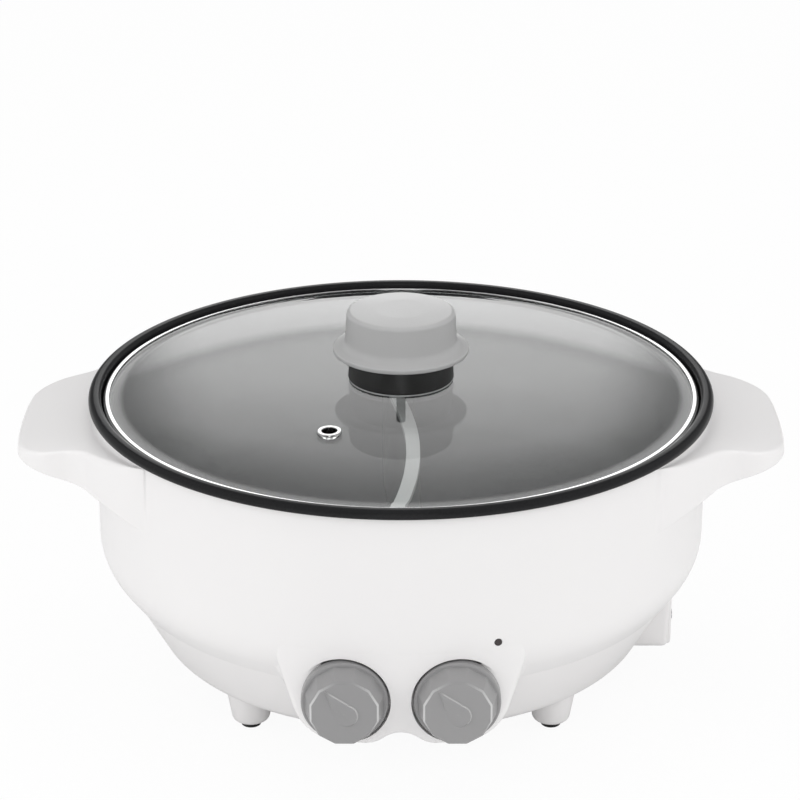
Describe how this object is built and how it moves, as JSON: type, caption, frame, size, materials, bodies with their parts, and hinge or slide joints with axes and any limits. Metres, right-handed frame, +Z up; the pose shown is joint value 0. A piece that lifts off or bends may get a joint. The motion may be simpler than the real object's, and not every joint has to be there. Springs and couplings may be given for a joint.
{
  "type": "divided electric hot pot with lid",
  "caption": "Round electric hot pot with a divided non-stick pot, loose glass lid, side handles and two front dials.",
  "frame": {"origin": "on the table under the middle of the whole pot, dials included; the pot's axis stands 4.5 mm behind it", "axes": "+Z up, -Y towards the front with the dials, +X to the right with the mains inlet, through both handles"},
  "size_m": [0.4112, 0.345, 0.207],
  "materials": {
    "white_shell": "white, glossy",
    "white_cover": "white, glossy",
    "nonstick": "black non-stick coat, satin",
    "black_silicone": "soft silicone",
    "clear_silicone": "milky silicone",
    "lid_glass": "clear tempered",
    "bright_steel": "polished stainless steel",
    "grey_satin": "satin grey",
    "dial_grey": "satin grey",
    "black_plastic": "black, satin",
    "spindle_metal": "turned",
    "spring_steel": "plain",
    "screw_steel": "zinc plated",
    "zinc_sheet": "galvanised sheet",
    "ceramic": "glazed ceramic",
    "brass_parts": "nickel-plated brass",
    "dark_window": "smoked",
    "lamp_red": "red lamp",
    "aluminium_plate": "cast",
    "element_sheath": "heat-tinted",
    "foot_rubber": "matt rubber"
  },
  "bodies": {
    "base": {"body_shell": "white_shell", "base_cover": "white_cover", "pot": "nonstick", "divider_wall": "nonstick", "flange_seal": "black_silicone", "thermostat_left": "ceramic", "thermostat_right": "ceramic", "bush_nuts": "brass_parts", "control_bracket": "zinc_sheet", "bracket_screws": "screw_steel", "indicator_window": "dark_window", "indicator_lamp": "lamp_red", "heater_plate_left": "aluminium_plate", "heater_plate_right": "aluminium_plate", "heating_tube_left": "element_sheath", "heating_tube_right": "element_sheath", "overheat_cutout_left": "zinc_sheet", "overheat_cutout_right": "zinc_sheet", "thermal_fuse": "brass_parts", "heat_shield": "zinc_sheet", "standoffs": "screw_steel", "base_screws": "screw_steel", "inlet_socket": "black_plastic", "inlet_pins": "brass_parts", "inlet_screws": "screw_steel", "terminal_block": "ceramic", "foot_pad_front_left": "foot_rubber", "foot_pad_front_right": "foot_rubber", "foot_pad_rear_left": "foot_rubber", "foot_pad_rear_right": "foot_rubber"},
    "lid": {"lid_glass": "lid_glass", "lid_rim": "bright_steel", "vent_eyelet": "bright_steel", "knob_cap": "grey_satin", "knob_collar": "black_plastic", "knob_gasket": "clear_silicone", "glass_bush": "clear_silicone", "knob_washer": "bright_steel", "knob_screw": "screw_steel"},
    "dial_left": {"dial_left": "dial_grey", "spindle_left": "spindle_metal", "dial_clip_left": "spring_steel"},
    "dial_right": {"dial_right": "dial_grey", "spindle_right": "spindle_metal", "dial_clip_right": "spring_steel"}
  },
  "joints": [
    {"name": "lid_lift", "type": "slide", "parent": "base", "child": "lid", "axis": [0, 0, 1], "range_m": [0, 0.2]},
    {"name": "dial_left_turn", "type": "hinge", "parent": "base", "child": "dial_left", "pos_m": [-0.0283, -0.1605, 0.057], "axis": [0, 1, 0], "range_deg": [0, 270]},
    {"name": "dial_right_turn", "type": "hinge", "parent": "base", "child": "dial_right", "pos_m": [0.0283, -0.1605, 0.057], "axis": [0, 1, 0], "range_deg": [0, 270]}
  ]
}
